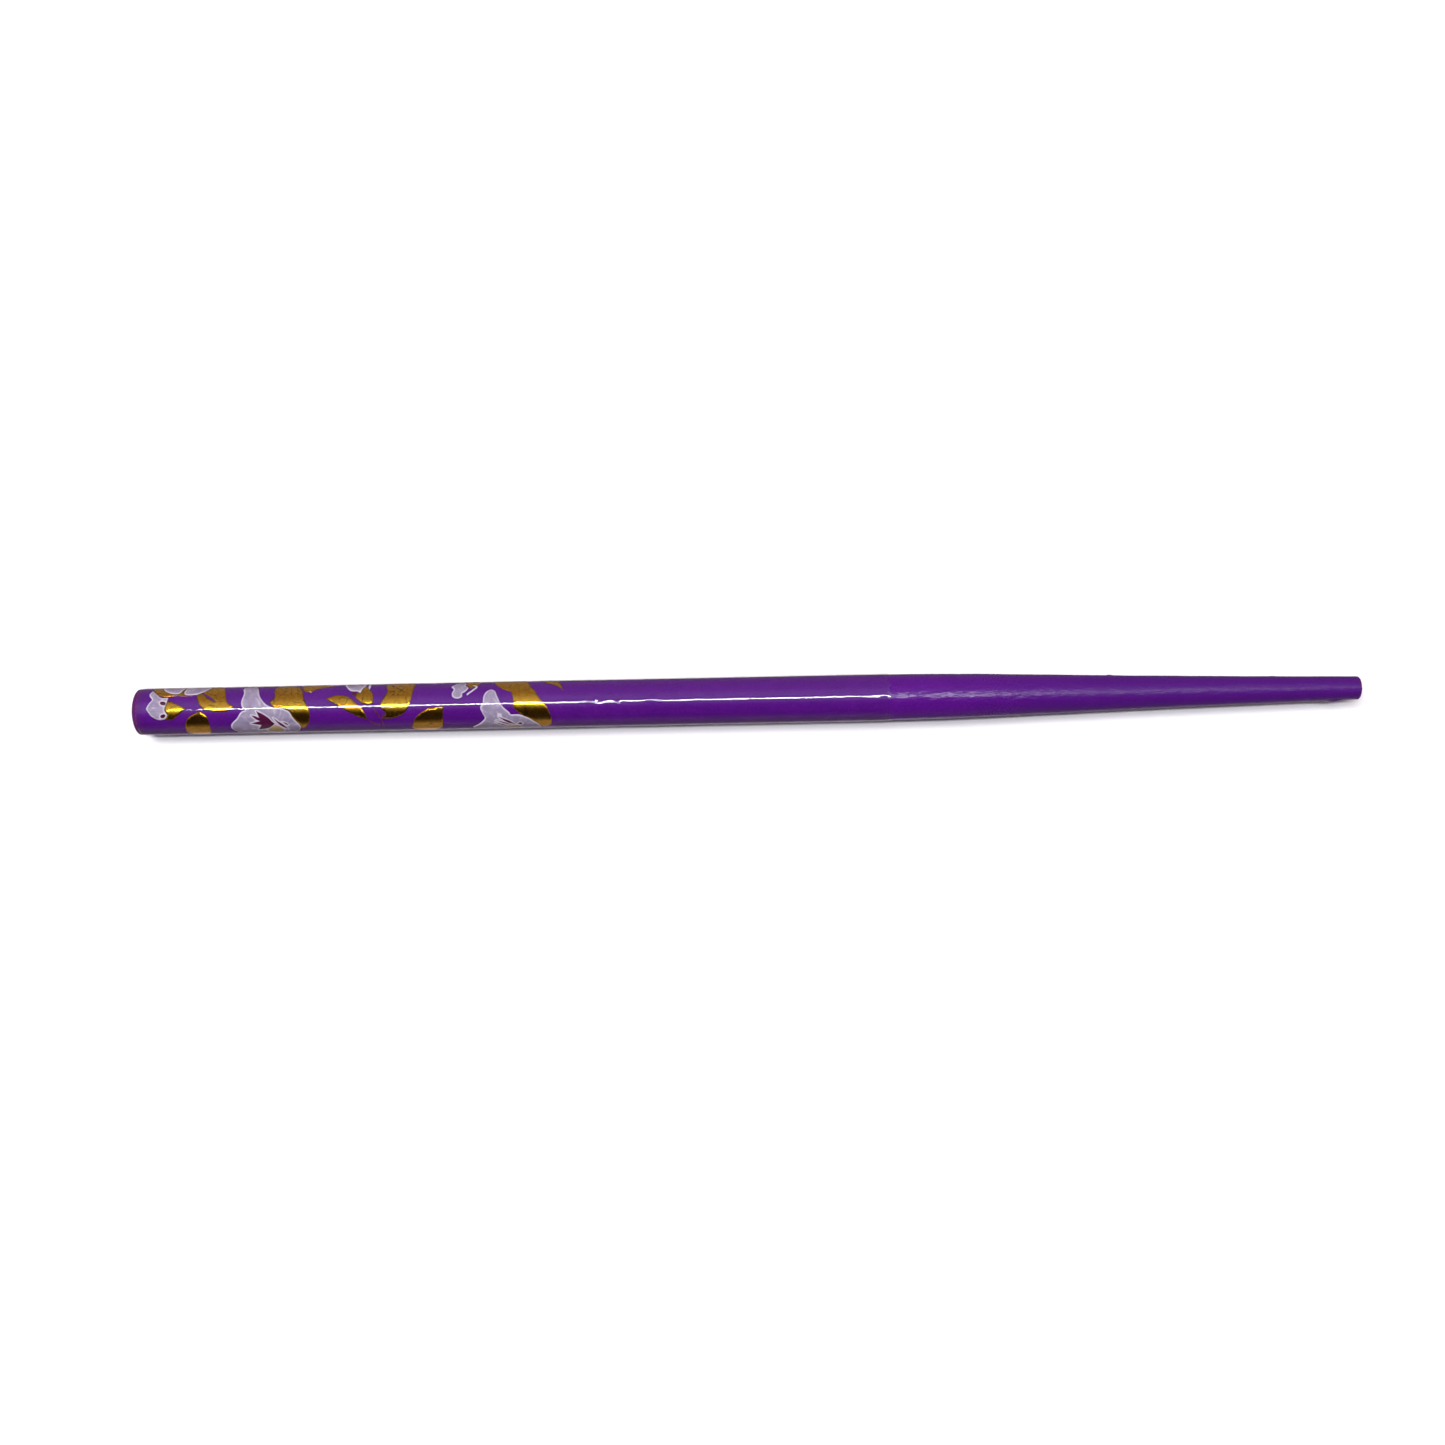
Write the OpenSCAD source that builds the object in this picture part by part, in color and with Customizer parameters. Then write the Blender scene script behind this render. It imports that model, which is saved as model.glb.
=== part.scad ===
// Hair stick: a turned wooden rod with a straight shaft and a tapered end, a coat
// of purple lacquer, and a floral heat transfer under a clear film on the shaft.
//
// The stick lies along X with its blunt end at -X and its tip at +X. It rests on
// the plane z = 0, and the origin is under the middle of its length.
// The print is laid out by two measures: the distance in mm from the blunt end,
// and the angle in degrees around the shaft, 0 on top and positive towards -Y.

/* [Stick] */
// Length from the blunt end to the tip
stick_length = 180; // [170:1:220]
// Diameter of the straight shaft, over the clear film
shaft_d = 7; // [6:0.1:9]
// Diameter of the flat tip
tip_d = 3.4; // [2.6:0.1:4.4]
// Radius of the blunt end's rounded edge
blunt_edge = 0.3; // [0.1:0.05:0.6]
// Radius of the tip's rounded edge
tip_edge = 0.2; // [0.1:0.05:0.6]

/* [Taper] */
// Distance from the blunt end to where the shaft starts to taper
taper_start = 109; // [100:1:125]
// Length of the soft shoulder between the shaft and the taper
shoulder_length = 19; // [10:1:30]
// Loss of radius per mm just past the shoulder
shoulder_slope = 0.0325; // [0.026:0.0005:0.036]

/* [Layers] */
// Thickness of the lacquer
lacquer_t = 0.15; // [0.1:0.01:0.3]
// Thickness of the printed foil and ink
print_t = 0.05; // [0.04:0.01:0.08]
// Thickness of the clear film over the print
film_t = 0.06; // [0.05:0.01:0.1]

/* [Film] */
// Bare lacquer between the blunt end and the film
film_start = 0.6; // [0.6:0.1:1.5]
// Length over which the film thins out at each end
film_feather = 0.5; // [0.2:0.1:1]
// Film that runs on past the start of the taper
film_overrun = 3; // [0:0.5:3]

/* [Hidden] */

wood_colour = "burlywood";
lacquer_colour = [0.40, 0.14, 0.55];
foil_colour = [0.80, 0.58, 0.12];
petal_colour = [0.80, 0.76, 0.86];
vein_colour = [0.36, 0.04, 0.20];
heart_colour = [0.68, 0.56, 0.42];
film_colour = [0.85, 0.88, 0.95, 0.35];

shaft_r = shaft_d / 2;
print_r = shaft_r - film_t;
lacquer_r = print_r - print_t;
tip_r = tip_d / 2;
film_end = taper_start + film_overrun;

// The print's stretch of the shaft
decal_start = 1.5;
decal_end = 65;

// Segments in the taper, in a rounded edge and between two points of an outline
taper_steps = 24;
edge_steps = 4;
curve_steps = 5;
round_fn = 96;

// Smallest rounding of an inner edge, and how far before the tip's edge the taper stops
least_edge = 0.02;
nose_run = 1.5;

// Where a stroke and a leaf are widest, as a share of their length
stroke_swell = 0.6;
leaf_swell = 0.45;

// A plain petal's waist and lobe, as shares of its reach and of its width, and its root
petal_waist = [0.45, 0.34];
petal_lobe = [0.8, 0.5];
petal_root = 0.2;

// --- The turned profile -------------------------------------------------------

// Radius lost along the shoulder, and the bend that brings the taper to the tip
shoulder_drop = shoulder_slope * shoulder_length / 2;
taper_length = stick_length - taper_start - shoulder_length;
shoulder_r = lacquer_r - shoulder_drop;
taper_bend = (tip_r - shoulder_r + shoulder_slope * taper_length) / pow(taper_length, 2);

// Lacquer radius at a distance from the blunt end: straight, then a parabola that
// eases into the taper, then a slightly hollow taper down to the tip
function radius_at(s) =
    let (past_start = s - taper_start, past_shoulder = past_start - shoulder_length)
    past_start <= 0 ? lacquer_r :
    past_shoulder <= 0 ? lacquer_r - shoulder_slope * pow(past_start, 2) / (2 * shoulder_length) :
    shoulder_r - shoulder_slope * past_shoulder + taper_bend * pow(past_shoulder, 2);

// A quarter round of radius r about a centre [distance, radius], from angle a to b
function edge(centre, r, a, b) = [
    for (i = [0:edge_steps])
        let (t = a + (b - a) * i / edge_steps)
        centre + r * [cos(t), sin(t)]
];

// The half profile of the stick, everywhere inset from the lacquer's surface
function half_profile(inset) =
    let (
        first = inset,
        last = stick_length - inset,
        blunt_r = max(blunt_edge - inset, least_edge),
        nose_r = max(tip_edge - inset, least_edge),
        blunt_centre = [first + blunt_r, lacquer_r - inset - blunt_r],
        nose_centre = [last - nose_r, radius_at(last - nose_r) - inset - nose_r],
        taper_end = last - nose_run * nose_r
    )
    concat(
        [[first, 0]],
        edge(blunt_centre, blunt_r, 180, 90),
        [
            for (i = [0:taper_steps])
                let (s = taper_start + (taper_end - taper_start) * i / taper_steps)
                [s, radius_at(s) - inset]
        ],
        edge(nose_centre, nose_r, 90, 0),
        [[last, 0]]
    );

// Stands a half profile [distance, radius] up, turns it, and lays it along the stick
module turned(profile) {
    translate([-stick_length / 2, 0, shaft_r])
        rotate([0, 90, 0])
            rotate_extrude($fn = round_fn)
                polygon([for (p = profile) [p[1], p[0]]]);
}

// A plain sleeve around the shaft
module sleeve(from, to, inner_r, outer_r) {
    turned([[from, inner_r], [from, outer_r], [to, outer_r], [to, inner_r]]);
}

// --- The outlines of the print ------------------------------------------------

// One step along a smooth curve between points b and c, with neighbours a and d
function bend(a, b, c, d, t) =
    b + (c - a) * t / 2
    + (2 * a - 5 * b + 4 * c - d) * pow(t, 2) / 2
    + (3 * b - a - 3 * c + d) * pow(t, 3) / 2;

// A smooth curve through its points, up to but not including the last
function curve(p) =
    let (last = len(p) - 1)
    [
        for (i = [0:last - 1], k = [0:curve_steps - 1])
            bend(p[max(i - 1, 0)], p[i], p[i + 1], p[min(i + 2, last)], k / curve_steps)
    ];

// A smooth closed curve through its points
function loop(p) =
    let (n = len(p))
    [
        for (i = [0:n - 1], k = [0:curve_steps - 1])
            bend(p[(i + n - 1) % n], p[i], p[(i + 1) % n], p[(i + 2) % n], k / curve_steps)
    ];

// A closed outline made of smooth sides that meet at corners
function sides(list) = [for (side = list) each curve(side)];

// Arc length on the print's middle surface and angle around the shaft
function to_mm(angle) = angle * PI / 180 * (lacquer_r + print_t / 2);
function to_angle(mm) = mm * 180 / PI / (lacquer_r + print_t / 2);

// A point a distance away from another, in a direction measured on the flat print
function away(from, dist, heading) =
    [from[0] + dist * cos(heading), from[1] + to_angle(dist * sin(heading))];

// An oval spot, with its half length along the heading and its half width across
function oval(centre, half_length, half_width, heading) = [
    for (t = [0:30:330])
        away(away(centre, half_length * cos(t), heading), half_width * sin(t), heading + 90)
];

// A stroke of ink that swells from a point to its full width and closes again
function stroke(from, to, width) =
    let (
        span = [to[0] - from[0], to_mm(to[1] - from[1])],
        heading = atan2(span[1], span[0]),
        middle = away(from, norm(span) * stroke_swell, heading)
    )
    sides([
        [from, away(middle, width / 2, heading + 90), to],
        [to, away(middle, width / 2, heading - 90), from]
    ]);

// A thin line of ink along a smooth curve
function line(p, width) =
    let (
        path = concat(curve(p), [p[len(p) - 1]]),
        last = len(path) - 1,
        headings = [
            for (i = [0:last])
                let (a = path[max(i - 1, 0)], b = path[min(i + 1, last)])
                atan2(to_mm(b[1] - a[1]), b[0] - a[0])
        ]
    )
    concat(
        [for (i = [0:last]) away(path[i], width / 2, headings[i] + 90)],
        [for (i = [0:last]) away(path[last - i], width / 2, headings[last - i] - 90)]
    );

// A plain leaf from its base to its tip, bowed to one side
function leaf(base, tip, width, bow) =
    let (
        span = [tip[0] - base[0], to_mm(tip[1] - base[1])],
        heading = atan2(span[1], span[0]),
        middle = away(away(base, norm(span) * leaf_swell, heading), bow, heading + 90)
    )
    sides([
        [base, away(middle, width / 2, heading + 90), tip],
        [tip, away(middle, width / 2, heading - 90), base]
    ]);

// A rounded petal that widens from the flower's heart to its lobe
function petal(heart, reach, width, heading) =
    let (
        waist = away(heart, petal_waist[0] * reach, heading),
        lobe = away(heart, petal_lobe[0] * reach, heading)
    )
    loop([
        away(heart, petal_root, heading + 180),
        away(waist, petal_waist[1] * width, heading + 90),
        away(lobe, petal_lobe[1] * width, heading + 90),
        away(heart, reach, heading),
        away(lobe, petal_lobe[1] * width, heading - 90),
        away(waist, petal_waist[1] * width, heading - 90)
    ]);

// --- The motifs, each a list of outlines --------------------------------------

bud_1 = [
    sides([
        [[2.2, -3], [2.5, -15], [3, -27]],
        [[3, -27], [2.4, -42], [2.6, -60]],
        [[2.6, -60], [3.3, -47], [4.2, -33], [5.3, -33]],
        [[5.3, -33], [5.2, -18], [4.9, 0], [5.3, 13], [4.9, 24]],
        [[4.9, 24], [4, 25], [3, 16], [2.2, -3]]
    ])
];
bud_1_marks = [
    oval([4.65, -17], 0.46, 0.3, 20),
    oval([4.65, 15], 0.42, 0.28, -20)
];
calyx_1 = [
    sides([
        [[5, -28], [6, -21], [7, -13], [8.1, -3]],
        [[8.1, -3], [7, 11], [6, 25], [5, 26]],
        [[5, 26], [4.6, 0], [5, -28]]
    ])
];

bud_2 = [
    loop([
        [31, -80], [31.4, -58], [32.1, -43], [33.1, -41],
        [33.6, -36], [33.8, -50], [34.1, -68], [32.8, -94]
    ]),
    stroke([34.6, -84], [34.8, -45], 0.36)
];
bud_2_mark = [oval([32.6, -34], 0.44, 0.3, 60)];
calyx_2 = [
    sides([
        [[34.2, -62], [33.2, -42], [32.9, -24], [34.1, -5]],
        [[34.1, -5], [34.9, -3], [35.6, -6]],
        [[35.6, -6], [35.5, -30], [34.9, -48], [34.2, -62]]
    ])
];

bud_3 = [
    loop([
        [47.1, -30], [47.3, -41], [46.9, -50], [47.4, -62], [48.2, -73], [49, -66], [48.9, -56],
        [49.4, -46], [49.1, -34], [48.6, -28], [48.6, -19], [47.9, -14], [47.2, -19]
    ]),
    line([[49.3, -24], [50.3, -40], [50.6, -50], [50, -56]], 0.26)
];
calyx_3 = [
    sides([
        [[48.6, -84], [49, -60], [49.7, -42]],
        [[49.7, -42], [50.7, -54], [51.1, -70], [50, -88], [48.6, -84]]
    ])
];

bud_4 = [loop([[24.6, -150], [25.4, -136], [26.8, -134], [27.8, -146], [27.2, -160], [25.6, -162]])];
calyx_4 = [
    sides([
        [[27.3, -136], [28.4, -138], [29.6, -148]],
        [[29.6, -148], [28.4, -158], [27.2, -160]],
        [[27.2, -160], [27.6, -148], [27.3, -136]]
    ])
];

// The upper petal stands up like a finger, and the others open towards the front
blossom_1 = [
    loop([
        [20.4, 34], [17.2, 10], [16.2, -10], [16.4, -40], [16.1, -62],
        [17, -84], [18.2, -62], [18.8, -32], [19.8, -10], [21.2, 6]
    ]),
    loop([[20.6, 44], [18, 10], [16.4, 6], [15.5, 24], [14.5, 41], [14.5, 60], [15.8, 80], [18.2, 84]]),
    loop([[20.2, 44], [20, 8], [21.4, 0], [23.1, 8], [23.7, 25], [24.6, 52], [23.8, 76], [22.2, 80]]),
    loop([[20.6, 50], [18.2, 82], [18.6, 104], [20.4, 112], [22.2, 104], [22.6, 80]])
];
blossom_1_strokes = [
    sides([
        [[20.9, 42], [19.9, 21], [18.4, 6]],
        [[18.4, 6], [18.6, 17], [18.8, 24]],
        [[18.8, 24], [18.3, 20], [17.6, 17]],
        [[17.6, 17], [18.2, 27], [18.8, 33]],
        [[18.8, 33], [18.2, 35], [17.4, 39]],
        [[17.4, 39], [18.2, 43], [18.9, 45]],
        [[18.9, 45], [18.6, 53], [18.2, 62]],
        [[18.2, 62], [19.8, 56], [20.9, 42]]
    ]),
    stroke([20.8, 24], [22.7, 62], 0.46),
    stroke([22.1, 36], [22.9, 47], 0.26)
];
blossom_1_middle = [loop([[20.9, 46], [21.6, 54], [21.9, 70], [20.6, 80], [19.6, 70], [20, 56]])];

blossom_2 = [
    loop([
        [54.4, 30], [52, 10], [51.7, -10], [52, -29], [52.7, -38], [53.4, -33],
        [53.8, -16], [54.5, 7], [55.6, 26]
    ]),
    loop([
        [54.6, 46], [52.4, 2], [51.3, 6], [51.5, 22], [51.8, 38],
        [50.8, 57], [49.8, 74], [51.4, 90], [53.6, 84]
    ]),
    loop([[54.2, 46], [54.6, 20], [55.7, 28], [57, 29], [58.4, 41], [59.6, 62], [59.6, 84], [57.2, 88]]),
    loop([[54.6, 52], [53, 84], [53.6, 106], [55.2, 112], [56.6, 102], [57, 82]])
];
blossom_2_strokes = [
    stroke([53.8, 33], [56.2, 61], 0.46),
    stroke([53.4, 43], [55.6, 63], 0.26),
    stroke([53.2, 51], [55, 68], 0.26),
    oval([56.9, 57], 0.34, 0.24, 0)
];
blossom_2_middle = [loop([[55.2, 68], [56.4, 66], [56.8, 78], [55.4, 86], [54.4, 78]])];

// The third blossom faces the back, and one of its petals shows over the top
blossom_3_centre = [7.7, -110];
blossom_3_reach = 4.5;
blossom_3_petal_w = 3.9;
blossom_3_headings = [62:72:350];
blossom_3 = [
    for (h = blossom_3_headings)
        petal(blossom_3_centre, blossom_3_reach, blossom_3_petal_w, h)
];
blossom_3_strokes = [
    for (h = blossom_3_headings, turn = [-14, 14])
        stroke(away(blossom_3_centre, 0.7, h), away(blossom_3_centre, 2.4, h + turn), 0.22)
];
blossom_3_middle = [oval(blossom_3_centre, 0.85, 0.75, 0)];

stem_line_1 = [stroke([34.4, 33], [36.8, 62], 0.26)];
stem_line_2 = [
    stroke([35.3, -4], [36.7, 36], 0.3),
    stroke([37.3, 16], [36.6, 36], 0.25),
    stroke([36.7, 32], [36.9, 60], 0.22)
];

leaf_1 = [
    sides([
        [[2.4, -70], [3.2, -50], [4.3, -36], [6.4, -37], [8.6, -36], [9.6, -46]],
        [[9.6, -46], [9, -70], [7, -92], [4.4, -94], [2.4, -70]]
    ])
];
leaf_2 = [
    sides([
        [[11.8, -98], [10.6, -68], [9.5, -40], [9.7, -22], [10.6, 2]],
        [[10.6, 2], [12.4, 8], [14.3, 6], [15.3, -4]],
        [[15.3, -4], [14.2, -16], [13.8, -36], [13.2, -66], [11.8, -98]]
    ])
];
leaf_2_slit = [stroke([10, -48], [12.4, -18], 0.3)];
leaf_3 = [
    sides([
        [[9.6, 104], [7.8, 76], [7.6, 46], [8.4, 19], [10, 4]],
        [[10, 4], [11.1, 17], [11.3, 42], [11, 74], [9.6, 104]]
    ])
];
leaf_4 = [
    sides([
        [[22.6, -84], [20.8, -60], [21, -28], [20.4, -14], [21.4, 6], [23.6, 40], [25, 62]],
        [[25, 62], [26.1, 36], [26.2, 10], [25.8, -10], [25.3, -28], [24.6, -58], [22.6, -84]]
    ])
];
leaf_5 = [
    sides([
        [[24.6, -62], [25.2, -46], [26.2, -41], [27.3, -54], [29.4, -67]],
        [[29.4, -67], [27.8, -84], [25.6, -90], [24.6, -62]]
    ])
];
leaf_6 = [
    sides([
        [[28.5, -21], [30.3, -31], [32, -24], [33.3, -5], [34.2, 13], [34.7, 36]],
        [[34.7, 36], [33, 24], [31.6, 9], [30.2, -4], [28.5, -21]]
    ])
];
leaf_7 = [
    sides([
        [[39.6, -102], [37.6, -84], [37.1, -62], [37.5, -38], [36.9, -16], [36.6, 2], [37.3, 19], [36.8, 34]],
        [[36.8, 34], [38.4, 33], [40.2, 18], [41.1, -12], [41.4, -50], [41.2, -82], [39.6, -102]]
    ])
];
leaf_8 = [
    sides([
        [[43.4, 100], [41, 74], [41.3, 44], [42, 26], [43.5, 9], [45.9, 3]],
        [[45.9, 3], [45.7, 32], [45.3, 68], [43.4, 100]]
    ])
];
// The largest leaf turns through the top, so its back half has an outline of its own
leaf_9 = [
    sides([
        [[54.6, -104], [53, -80], [53.4, -56], [54.6, -37], [56.2, -26]],
        [[56.2, -26], [59.6, -24]],
        [[59.6, -24], [58.6, -46], [58, -70], [56.8, -92], [54.6, -104]]
    ]),
    sides([
        [[55.8, -30], [56.1, -8], [56.2, 12], [57.6, 34], [59.4, 62], [60.4, 80]],
        [[60.4, 80], [61.4, 62], [61.6, 40], [61.1, 14], [60.4, -4], [59.2, -30]],
        [[59.2, -30], [55.8, -30]]
    ])
];
leaf_9_slit = [stroke([57.7, 1], [58.1, 32], 0.3)];
leaf_10 = [
    sides([
        [[63.5, -30], [62.4, -46], [60.6, -64], [59.6, -90]],
        [[59.6, -90], [61.4, -84], [62.7, -62], [63.5, -30]]
    ])
];

// The rest of the print goes on round the back
leaf_11 = [leaf([15, -110], [20.5, -168], 2.6, 0.4)];
leaf_12 = [leaf([14.5, 176], [19, 128], 2.2, -0.4)];
leaf_13 = [leaf([30.5, 150], [36.5, 192], 2.4, 0.5)];
leaf_14 = [leaf([42, -128], [47.5, -178], 2.6, -0.5)];
leaf_15 = [leaf([62, -118], [55, -168], 2.4, 0.5)];

// --- Putting the print on the shaft -------------------------------------------

// Middle angle of an outline, which is the way its side walls run
function facing(outline) =
    let (angles = [for (p = outline) p[1]])
    (min(angles) + max(angles)) / 2;

// Pushes the outlines of a motif out through the shaft's surface
module stamp(motif) {
    for (outline = motif) {
        middle = facing(outline);
        translate([-stick_length / 2, 0, shaft_r])
            rotate([middle, 0, 0])
                linear_extrude(height = shaft_d)
                    polygon([for (p = outline) [p[0], -(lacquer_r + print_t / 2) * sin(p[1] - middle)]]);
    }
}

// The part of a motif that no other motif covers, one print layer thick
module printed(motif, covers = []) {
    intersection() {
        sleeve(decal_start, decal_end, lacquer_r, print_r);
        difference() {
            stamp(motif);
            for (cover = covers) stamp(cover);
        }
    }
}

module foil(motif, covers = []) {
    color(foil_colour) printed(motif, covers);
}

module white_ink(motif, covers = []) {
    color(petal_colour) printed(motif, covers);
}

module dark_ink(motif, covers = []) {
    color(vein_colour) printed(motif, covers);
}

module tan_ink(motif, covers = []) {
    color(heart_colour) printed(motif, covers);
}

// --- Sub-parts ----------------------------------------------------------------

// The turned wooden rod
module wood_core() {
    color(wood_colour) turned(half_profile(lacquer_t));
}

// The lacquer all over the rod, ends included
module lacquer_coat() {
    color(lacquer_colour)
        difference() {
            turned(half_profile(0));
            turned(half_profile(lacquer_t));
        }
}

// The clear film, which thins out at both ends and lies over the print
module clear_film() {
    color(film_colour)
        difference() {
            turned([
                [film_start, lacquer_r],
                [film_start + film_feather, shaft_r],
                [film_end - film_feather, shaft_r],
                [film_end, lacquer_r]
            ]);
            sleeve(decal_start, decal_end, 0, print_r);
        }
}

module bud_1_petals() { white_ink(bud_1, [bud_1_marks]); }
module bud_1_spots() { dark_ink(bud_1_marks); }
module bud_1_calyx() { foil(calyx_1, [bud_1]); }
module bud_2_petals() { white_ink(bud_2, [bud_2_mark]); }
module bud_2_spot() { dark_ink(bud_2_mark); }
module bud_2_calyx() { foil(calyx_2, [bud_2, bud_2_mark]); }
module bud_3_petals() { white_ink(bud_3); }
module bud_3_calyx() { foil(calyx_3, [bud_3]); }
module bud_4_petals() { white_ink(bud_4); }
module bud_4_calyx() { foil(calyx_4, [bud_4]); }

module blossom_1_petals() { white_ink(blossom_1, [blossom_1_strokes, blossom_1_middle]); }
module blossom_1_veins() { dark_ink(blossom_1_strokes, [blossom_1_middle]); }
module blossom_1_heart() { tan_ink(blossom_1_middle); }
module blossom_2_petals() { white_ink(blossom_2, [blossom_2_strokes, blossom_2_middle]); }
module blossom_2_veins() { dark_ink(blossom_2_strokes, [blossom_2_middle]); }
module blossom_2_heart() { tan_ink(blossom_2_middle); }
module blossom_3_petals() { white_ink(blossom_3, [blossom_3_strokes, blossom_3_middle]); }
module blossom_3_veins() { dark_ink(blossom_3_strokes, [blossom_3_middle]); }
module blossom_3_heart() { tan_ink(blossom_3_middle); }

module stem_1() { dark_ink(stem_line_1, [leaf_6, stem_line_2]); }
module stem_2() { dark_ink(stem_line_2, [leaf_7, calyx_2]); }

module gold_leaf_1() { foil(leaf_1, [bud_1, blossom_3, calyx_1]); }
module gold_leaf_2() { foil(leaf_2, [blossom_3, leaf_2_slit, leaf_1]); }
module gold_leaf_3() { foil(leaf_3, [leaf_2]); }
module gold_leaf_4() { foil(leaf_4, [blossom_1]); }
module gold_leaf_5() { foil(leaf_5, [leaf_4]); }
module gold_leaf_6() { foil(leaf_6); }
module gold_leaf_7() { foil(leaf_7); }
module gold_leaf_8() { foil(leaf_8); }
module gold_leaf_9() { foil(leaf_9, [blossom_2, leaf_9_slit]); }
module gold_leaf_10() { foil(leaf_10, [leaf_9]); }
module gold_leaf_11() { foil(leaf_11); }
module gold_leaf_12() { foil(leaf_12); }
module gold_leaf_13() { foil(leaf_13); }
module gold_leaf_14() { foil(leaf_14); }
module gold_leaf_15() { foil(leaf_15); }

wood_core();
lacquer_coat();
clear_film();
bud_1_petals();
bud_1_spots();
bud_1_calyx();
bud_2_petals();
bud_2_spot();
bud_2_calyx();
bud_3_petals();
bud_3_calyx();
bud_4_petals();
bud_4_calyx();
blossom_1_petals();
blossom_1_veins();
blossom_1_heart();
blossom_2_petals();
blossom_2_veins();
blossom_2_heart();
blossom_3_petals();
blossom_3_veins();
blossom_3_heart();
stem_1();
stem_2();
gold_leaf_1();
gold_leaf_2();
gold_leaf_3();
gold_leaf_4();
gold_leaf_5();
gold_leaf_6();
gold_leaf_7();
gold_leaf_8();
gold_leaf_9();
gold_leaf_10();
gold_leaf_11();
gold_leaf_12();
gold_leaf_13();
gold_leaf_14();
gold_leaf_15();
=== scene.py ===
"""Decorative hair stick: a lacquered wooden rod with a foil and ink print under a clear film.

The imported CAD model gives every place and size. The lacquer, the film and each motif of the
print are rebuilt here as smooth, finely divided meshes that stand for their CAD nodes.
Places on the shaft are given as s, the distance from the blunt end, and a, the angle around
the shaft, 0 on top and positive towards -Y. Lengths are in metres unless a name ends in _MM.
"""

import math

import bpy
import numpy as np
from mathutils import Matrix, Vector, noise
from mathutils.geometry import delaunay_2d_cdt


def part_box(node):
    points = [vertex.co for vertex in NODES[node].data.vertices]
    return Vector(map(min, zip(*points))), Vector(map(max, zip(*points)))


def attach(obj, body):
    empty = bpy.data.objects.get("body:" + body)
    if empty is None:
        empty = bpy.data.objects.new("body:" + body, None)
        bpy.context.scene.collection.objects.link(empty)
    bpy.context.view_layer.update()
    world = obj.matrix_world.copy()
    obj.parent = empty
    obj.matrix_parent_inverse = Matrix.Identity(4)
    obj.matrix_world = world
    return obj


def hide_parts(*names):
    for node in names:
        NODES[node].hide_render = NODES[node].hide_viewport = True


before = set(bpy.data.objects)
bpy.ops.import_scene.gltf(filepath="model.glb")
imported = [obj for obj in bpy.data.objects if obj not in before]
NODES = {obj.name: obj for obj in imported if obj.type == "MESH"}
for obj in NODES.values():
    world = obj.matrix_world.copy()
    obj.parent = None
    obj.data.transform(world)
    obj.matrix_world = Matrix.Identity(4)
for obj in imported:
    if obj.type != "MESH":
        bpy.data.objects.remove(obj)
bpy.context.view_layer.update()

MM = 0.001

# --- Places and sizes, from the CAD model --------------------------------------

LACQUER_LO, LACQUER_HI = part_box("lacquer_coat")
FILM_LO, FILM_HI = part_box("clear_film")
BLUNT_X = LACQUER_LO.x
LENGTH = LACQUER_HI.x - LACQUER_LO.x
AXIS_Z = (LACQUER_LO.z + LACQUER_HI.z) / 2
LACQUER_R = (LACQUER_HI.z - LACQUER_LO.z) / 2
FILM_R = (FILM_HI.z - FILM_LO.z) / 2
FILM_FROM = FILM_LO.x - BLUNT_X
FILM_TO = FILM_HI.x - BLUNT_X
PRINT_T = 0.05 * MM
PRINT_R = LACQUER_R + PRINT_T

# The CAD model's own edge radii
BLUNT_EDGE = 0.3 * MM
TIP_EDGE = 0.2 * MM


def place(s, a, r):
    """The point at distance s from the blunt end, angle a and radius r."""
    return Vector((BLUNT_X + s, -r * math.sin(a), AXIS_Z + r * math.cos(a)))


def smoothstep(low, high, x):
    """0 below low, 1 above high and an S between, for numbers and arrays."""
    t = np.clip((x - low) / (high - low), 0.0, 1.0)
    return t * t * (3 - 2 * t)


def hump(x, centre, half_width):
    """A smooth bump of height 1 at centre that ends half_width away on both sides."""
    t = np.clip(np.abs(x - centre) / half_width, 0.0, 1.0)
    return (1 - t * t) ** 2


# --- Materials -----------------------------------------------------------------


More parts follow.
